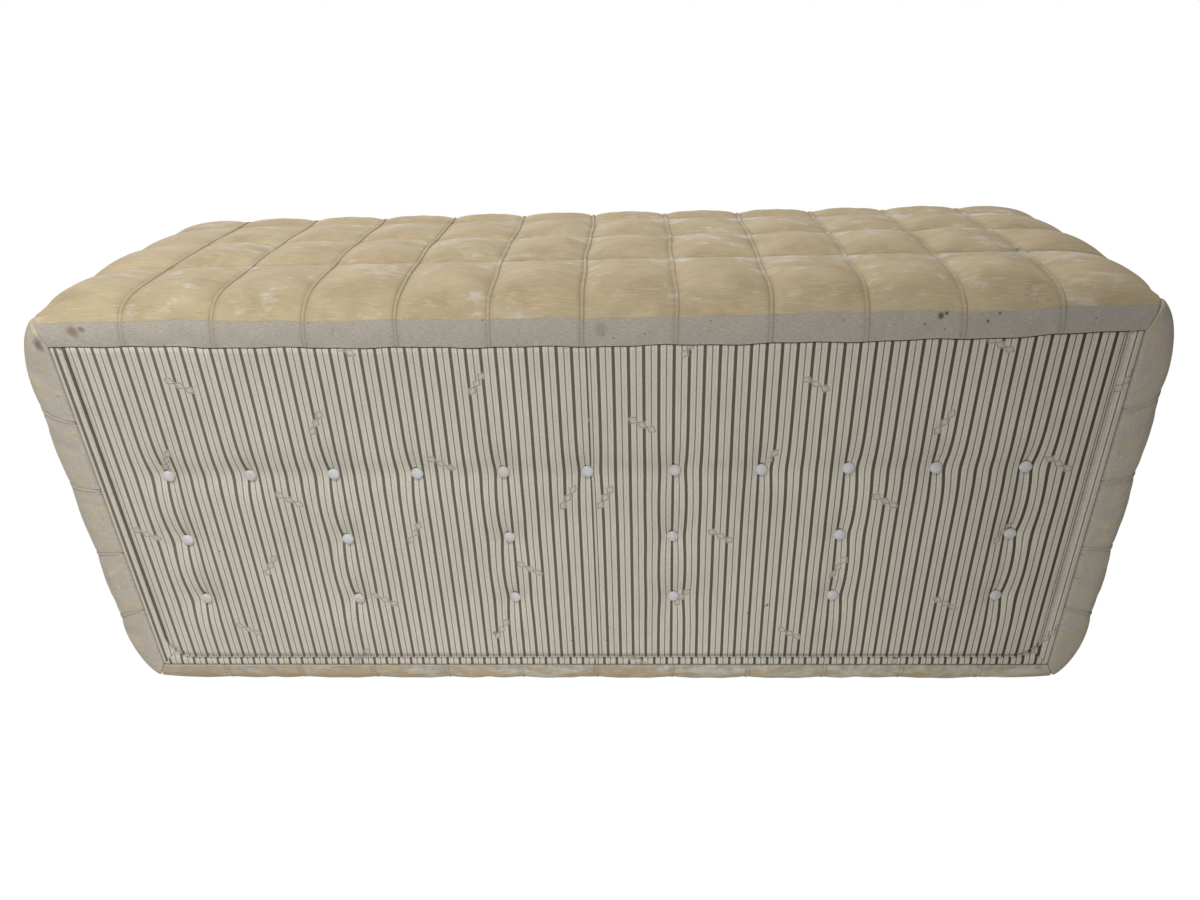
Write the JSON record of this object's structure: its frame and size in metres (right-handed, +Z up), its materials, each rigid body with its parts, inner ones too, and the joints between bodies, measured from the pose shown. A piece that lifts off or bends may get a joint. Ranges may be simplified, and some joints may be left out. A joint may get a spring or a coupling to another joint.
{
  "type": "backless divan",
  "caption": "Long backless divan: a quilted velvet cover in puffed squares over layered foam, closed below by striped ticking that rows of tufting buttons hold.",
  "frame": {"origin": "on the floor, under the middle of the striped base", "axes": "+Z up to the seat, X along the length, and the front long side faces -Y"},
  "size_m": [1.4644, 0.643, 0.4999],
  "materials": {
    "velvet": "crushed pile velvet, worn grey along the base",
    "ticking": "woven striped cotton",
    "foam": "cut foam",
    "wadding": "polyester wadding",
    "button_shell": "satin moulded",
    "twine": "waxed cotton twine"
  },
  "bodies": {
    "root": {"front_panel": "velvet", "seat_panel": "velvet", "back_panel": "velvet", "left_end_panel": "velvet", "right_end_panel": "velvet", "left_end_pad": "wadding", "right_end_pad": "wadding", "base_foam": "foam", "core_foam": "foam", "top_foam": "foam", "base_ticking": "ticking", "border_left": "ticking", "border_right": "ticking", "border_back": "ticking", "button_1_1": "button_shell", "twine_1_1": "twine", "button_1_2": "button_shell", "twine_1_2": "twine", "button_1_3": "button_shell", "twine_1_3": "twine", "button_1_4": "button_shell", "twine_1_4": "twine", "button_1_5": "button_shell", "twine_1_5": "twine", "button_1_6": "button_shell", "twine_1_6": "twine", "button_1_7": "button_shell", "twine_1_7": "twine", "button_1_8": "button_shell", "twine_1_8": "twine", "button_1_9": "button_shell", "twine_1_9": "twine", "button_1_10": "button_shell", "twine_1_10": "twine", "button_1_11": "button_shell", "twine_1_11": "twine", "button_2_1": "button_shell", "twine_2_1": "twine", "button_2_2": "button_shell", "twine_2_2": "twine", "button_2_3": "button_shell", "twine_2_3": "twine", "button_2_4": "button_shell", "twine_2_4": "twine", "button_2_5": "button_shell", "twine_2_5": "twine", "button_2_6": "button_shell", "twine_2_6": "twine", "button_3_1": "button_shell", "twine_3_1": "twine", "button_3_2": "button_shell", "twine_3_2": "twine", "button_3_3": "button_shell", "twine_3_3": "twine", "button_3_4": "button_shell", "twine_3_4": "twine", "button_3_5": "button_shell", "twine_3_5": "twine", "button_3_6": "button_shell", "twine_3_6": "twine"}
  },
  "joints": []
}
